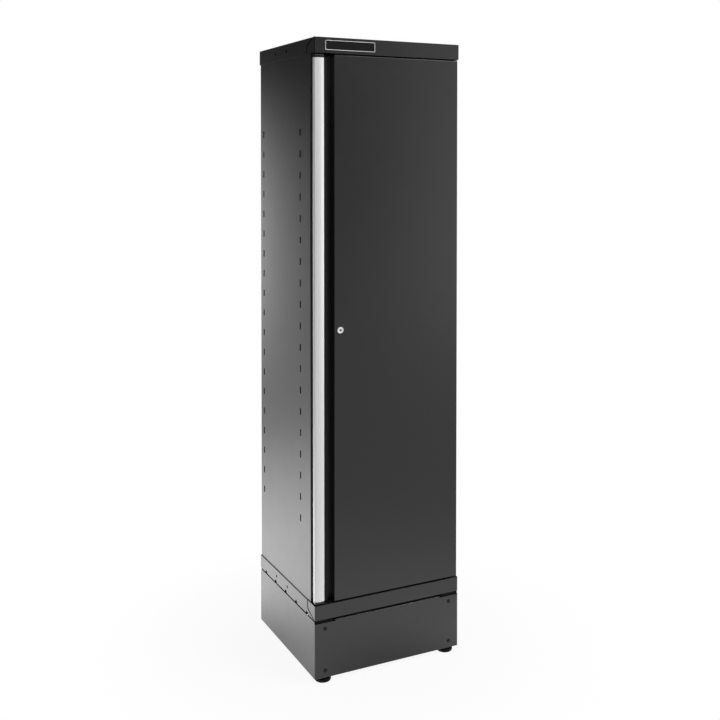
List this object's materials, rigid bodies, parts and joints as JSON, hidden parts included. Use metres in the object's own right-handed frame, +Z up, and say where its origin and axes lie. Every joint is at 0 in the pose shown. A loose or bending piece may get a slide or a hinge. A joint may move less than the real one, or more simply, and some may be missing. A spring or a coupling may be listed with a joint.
{
  "type": "tool locker",
  "caption": "Tall steel tool locker with a hinged door, full-height grip handle, key lock with rods, slotted sides, shelves and a plinth on levelling feet.",
  "frame": {"origin": "on the floor under the middle of the locker", "axes": "+X to the right seen from the front, +Y to the rear, +Z up; the door faces -Y"},
  "size_m": [0.516, 0.4776, 2],
  "materials": {
    "body_paint": "satin powder coat",
    "plinth_paint": "satin powder coat",
    "shelf_paint": "satin powder coat",
    "silver_profile": "satin anodised",
    "black_plastic": "fine grained",
    "foot_plastic": "moulded",
    "lock_chrome": "polished",
    "zinc_steel": "zinc plated",
    "black_screw": "black oxide",
    "nylon": "moulded",
    "buffer_rubber": "soft"
  },
  "bodies": {
    "carcass": {"cap_tray": "body_paint", "cap_fascia": "body_paint", "base_tray": "body_paint", "base_fascia": "body_paint", "side_panel_left": "body_paint", "side_panel_right": "body_paint", "back_panel": "body_paint", "back_rivets": "zinc_steel", "door_buffers": "buffer_rubber", "hinge_bush_top": "nylon", "hinge_bush_bottom": "nylon", "shelf_clips": "zinc_steel", "plinth_front": "plinth_paint", "plinth_rear": "plinth_paint", "plinth_side_left": "plinth_paint", "plinth_side_right": "plinth_paint", "plinth_screws": "black_screw", "base_bolts": "zinc_steel", "base_nuts": "zinc_steel", "foot_nuts": "zinc_steel", "shelf_1": "shelf_paint", "shelf_2": "shelf_paint", "shelf_3": "shelf_paint", "shelf_4": "shelf_paint", "plinth_post_front_left": "plinth_paint", "plinth_post_front_right": "plinth_paint", "plinth_post_rear_left": "plinth_paint", "plinth_post_rear_right": "plinth_paint"},
    "door": {"door_skin": "body_paint", "door_stiffener": "body_paint", "handle_profile": "silver_profile", "handle_rivets": "zinc_steel", "grip_liner": "black_plastic", "handle_cap_top": "black_plastic", "handle_cap_bottom": "black_plastic", "hinge_plate_top": "zinc_steel", "hinge_plate_bottom": "zinc_steel", "hinge_pin_top": "zinc_steel", "hinge_pin_bottom": "zinc_steel", "lock_housing": "lock_chrome", "lock_nut": "zinc_steel", "rod_guides": "black_plastic"},
    "lock": {"lock_plug": "lock_chrome", "lock_cam": "zinc_steel", "cam_screw": "zinc_steel"},
    "rod_upper": {"lock_rod_upper": "zinc_steel"},
    "rod_lower": {"lock_rod_lower": "zinc_steel"},
    "foot_front_left": {"foot_pad_front_left": "foot_plastic", "foot_stud_front_left": "zinc_steel"},
    "foot_front_right": {"foot_pad_front_right": "foot_plastic", "foot_stud_front_right": "zinc_steel"},
    "foot_rear_left": {"foot_pad_rear_left": "foot_plastic", "foot_stud_rear_left": "zinc_steel"},
    "foot_rear_right": {"foot_pad_rear_right": "foot_plastic", "foot_stud_rear_right": "zinc_steel"}
  },
  "joints": [
    {"name": "door_hinge", "type": "hinge", "parent": "carcass", "child": "door", "pos_m": [0.2435, -0.218, 1.0985], "axis": [0, 0, 1], "range_deg": [0, 110]},
    {"name": "lock_turn", "type": "hinge", "parent": "door", "child": "lock", "pos_m": [-0.1702, -0.234, 1.096], "axis": [0, -1, 0], "range_deg": [0, 90]},
    {"name": "rod_up", "type": "slide", "parent": "door", "child": "rod_upper", "axis": [0, 0, 1], "range_m": [0, 0.01767]},
    {"name": "rod_down", "type": "slide", "parent": "door", "child": "rod_lower", "axis": [0, 0, -1], "range_m": [0, 0.01767]},
    {"name": "foot_front_left_height", "type": "slide", "parent": "carcass", "child": "foot_front_left", "axis": [0, 0, -1], "range_m": [0, 0.02]},
    {"name": "foot_front_right_height", "type": "slide", "parent": "carcass", "child": "foot_front_right", "axis": [0, 0, -1], "range_m": [0, 0.02]},
    {"name": "foot_rear_left_height", "type": "slide", "parent": "carcass", "child": "foot_rear_left", "axis": [0, 0, -1], "range_m": [0, 0.02]},
    {"name": "foot_rear_right_height", "type": "slide", "parent": "carcass", "child": "foot_rear_right", "axis": [0, 0, -1], "range_m": [0, 0.02]}
  ],
  "couplings": [
    {"joint": "lock_turn", "follows": "rod_up", "rad_per_m": 88.896},
    {"joint": "rod_down", "follows": "rod_up", "ratio": 1}
  ]
}
